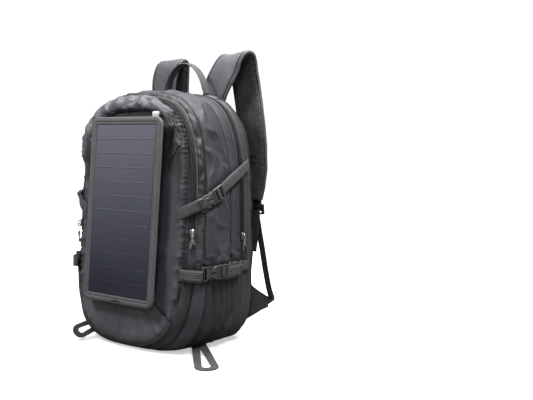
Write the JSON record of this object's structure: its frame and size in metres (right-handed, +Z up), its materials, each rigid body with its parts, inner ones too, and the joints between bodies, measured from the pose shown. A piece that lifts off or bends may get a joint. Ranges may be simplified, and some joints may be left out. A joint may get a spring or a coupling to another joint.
{
  "type": "solar backpack",
  "caption": "Soft day pack with a lift-up solar panel on its front, compression straps, side pockets, shoulder straps and lash loops.",
  "frame": {"origin": "centre of the flat base that the pack stands on", "axes": "+Z up, -Y out of the front with the solar panel, +X to the side of the long lash loop"},
  "size_m": [0.4117, 0.2919, 0.5554],
  "materials": {
    "body_fabric": "plain coated nylon, slight sheen",
    "boot_fabric": "fine ripstop nylon",
    "foam_board": "closed-cell foam on a plastic sheet",
    "air_mesh": "padded air mesh",
    "lining": "thin woven lining",
    "zipper_tape": "woven tape with a nylon coil",
    "webbing": "ribbed polypropylene webbing",
    "buckle_plastic": "moulded acetal",
    "zip_metal": "polished nickel plate",
    "pull_cord": "black cord with a moulded end",
    "panel_fabric": "woven border with stitching",
    "cell_film": "satin clear film over the cells",
    "cells": "dark blue-black silicon under film",
    "box_plastic": "black moulded box",
    "hook_tape": "hook tape",
    "tab_white": "white woven tape",
    "flap_mesh": "open silver-white mesh"
  },
  "bodies": {
    "pack": {"main_shell": "body_fabric", "base_boot": "boot_fabric", "back_board": "foam_board", "back_pads": "air_mesh", "laptop_sleeve": "lining", "rear_zipper_tape": "zipper_tape", "shoulder_strap_left": "body_fabric", "shoulder_strap_right": "body_fabric", "ladder_lock_left": "buckle_plastic", "ladder_lock_right": "buckle_plastic", "adjuster_webbing_left": "webbing", "adjuster_webbing_right": "webbing", "corner_wing_left": "boot_fabric", "corner_wing_right": "boot_fabric", "lash_loop_left": "webbing", "lash_loop_right": "webbing", "upper_rear_webbing": "webbing", "lower_rear_webbing": "webbing"},
    "front_section": {"front_shell": "body_fabric", "divider": "lining", "front_shield": "body_fabric", "gathered_hood": "body_fabric", "front_zipper_tape": "zipper_tape", "hinged_zipper_tape": "zipper_tape", "side_pocket_left": "boot_fabric", "side_pocket_right": "boot_fabric", "upper_front_webbing": "webbing", "lower_front_webbing": "webbing", "upper_buckle_sockets": "buckle_plastic", "lower_buckle_sockets": "buckle_plastic", "panel_anchor": "webbing", "loop_tab": "tab_white"},
    "handle": {"grab_handle": "webbing"},
    "panel": {"panel_border": "panel_fabric", "cell_sheet": "cell_film", "solar_cells": "cells", "panel_board": "foam_board", "pouch_wall": "lining", "usb_box": "box_plastic", "usb_port": "zip_metal", "hook_strips": "hook_tape"},
    "flap": {"mesh_flap": "flap_mesh", "flap_binding": "panel_fabric"},
    "upper_clip_left": {"upper_clip_left": "buckle_plastic"},
    "upper_clip_right": {"upper_clip_right": "buckle_plastic"},
    "lower_clip_left": {"lower_clip_left": "buckle_plastic"},
    "lower_clip_right": {"lower_clip_right": "buckle_plastic"},
    "front_slider_left": {"front_slider_left": "zip_metal"},
    "front_slider_right": {"front_slider_right": "zip_metal"},
    "main_slider_left": {"main_slider_left": "zip_metal"},
    "main_slider_right": {"main_slider_right": "zip_metal"},
    "front_pull_left": {"front_pull_left": "pull_cord"},
    "front_pull_right": {"front_pull_right": "pull_cord"},
    "main_pull_left": {"main_pull_left": "pull_cord"},
    "main_pull_right": {"main_pull_right": "pull_cord"}
  },
  "joints": [
    {"name": "front_opening", "type": "hinge", "parent": "pack", "child": "front_section", "pos_m": [0, -0.112, 0.0562], "axis": [1, 0, 0], "range_deg": [0, 20], "deforming": ["upper_rear_webbing", "lower_rear_webbing"]},
    {"name": "panel_lift", "type": "hinge", "parent": "front_section", "child": "panel", "pos_m": [0, -0.08803, 0.4257], "axis": [-1, 0, 0], "range_deg": [0, 95]},
    {"name": "flap_opening", "type": "hinge", "parent": "panel", "child": "flap", "pos_m": [-0.074, -0.09533, 0.23656], "axis": [0, 0.0924, 0.9957], "range_deg": [0, 26]},
    {"name": "handle_swing", "type": "hinge", "parent": "pack", "child": "handle", "pos_m": [0, 0.066, 0.474], "axis": [1, 0, 0], "range_deg": [-20, 45], "stiffness_Nm_per_rad": 0.05},
    {"name": "upper_clip_left_release", "type": "slide", "parent": "front_section", "child": "upper_clip_left", "axis": [-0.1251, 0.89, 0.4384], "range_m": [0, 0.024]},
    {"name": "lower_clip_left_release", "type": "slide", "parent": "front_section", "child": "lower_clip_left", "axis": [-0.1392, 0.9903, 0], "range_m": [0, 0.024]},
    {"name": "upper_clip_right_release", "type": "slide", "parent": "front_section", "child": "upper_clip_right", "axis": [0.1251, 0.89, 0.4384], "range_m": [0, 0.024]},
    {"name": "lower_clip_right_release", "type": "slide", "parent": "front_section", "child": "lower_clip_right", "axis": [0.1392, 0.9903, 0], "range_m": [0, 0.024]},
    {"name": "front_slider_left_travel", "type": "slide", "parent": "front_section", "child": "front_slider_left", "axis": [0, 0.0813, 0.9967], "range_m": [0, 0.018]},
    {"name": "front_pull_left_swing", "type": "hinge", "parent": "front_slider_left", "child": "front_pull_left", "pos_m": [-0.1512, -0.08199, 0.2176], "axis": [-0.7181, 0.6959, 0], "range_deg": [0, 110]},
    {"name": "main_slider_left_travel", "type": "slide", "parent": "pack", "child": "main_slider_left", "axis": [0, 0, 1], "range_m": [0, 0.08]},
    {"name": "main_pull_left_swing", "type": "hinge", "parent": "main_slider_left", "child": "main_pull_left", "pos_m": [-0.1644, 0.046, 0.2016], "axis": [0, 1, 0], "range_deg": [0, 110]},
    {"name": "front_slider_right_travel", "type": "slide", "parent": "front_section", "child": "front_slider_right", "axis": [0, 0.0813, 0.9967], "range_m": [0, 0.018]},
    {"name": "front_pull_right_swing", "type": "hinge", "parent": "front_slider_right", "child": "front_pull_right", "pos_m": [0.1512, -0.08199, 0.2176], "axis": [-0.7181, -0.6959, 0], "range_deg": [0, 110]},
    {"name": "main_slider_right_travel", "type": "slide", "parent": "pack", "child": "main_slider_right", "axis": [0, 0, 1], "range_m": [0, 0.08]},
    {"name": "main_pull_right_swing", "type": "hinge", "parent": "main_slider_right", "child": "main_pull_right", "pos_m": [0.1644, 0.046, 0.2016], "axis": [0, -1, 0], "range_deg": [0, 110]}
  ],
  "couplings": [
    {"joint": "flap_opening", "follows": "panel_lift", "ratio": 0.27}
  ]
}
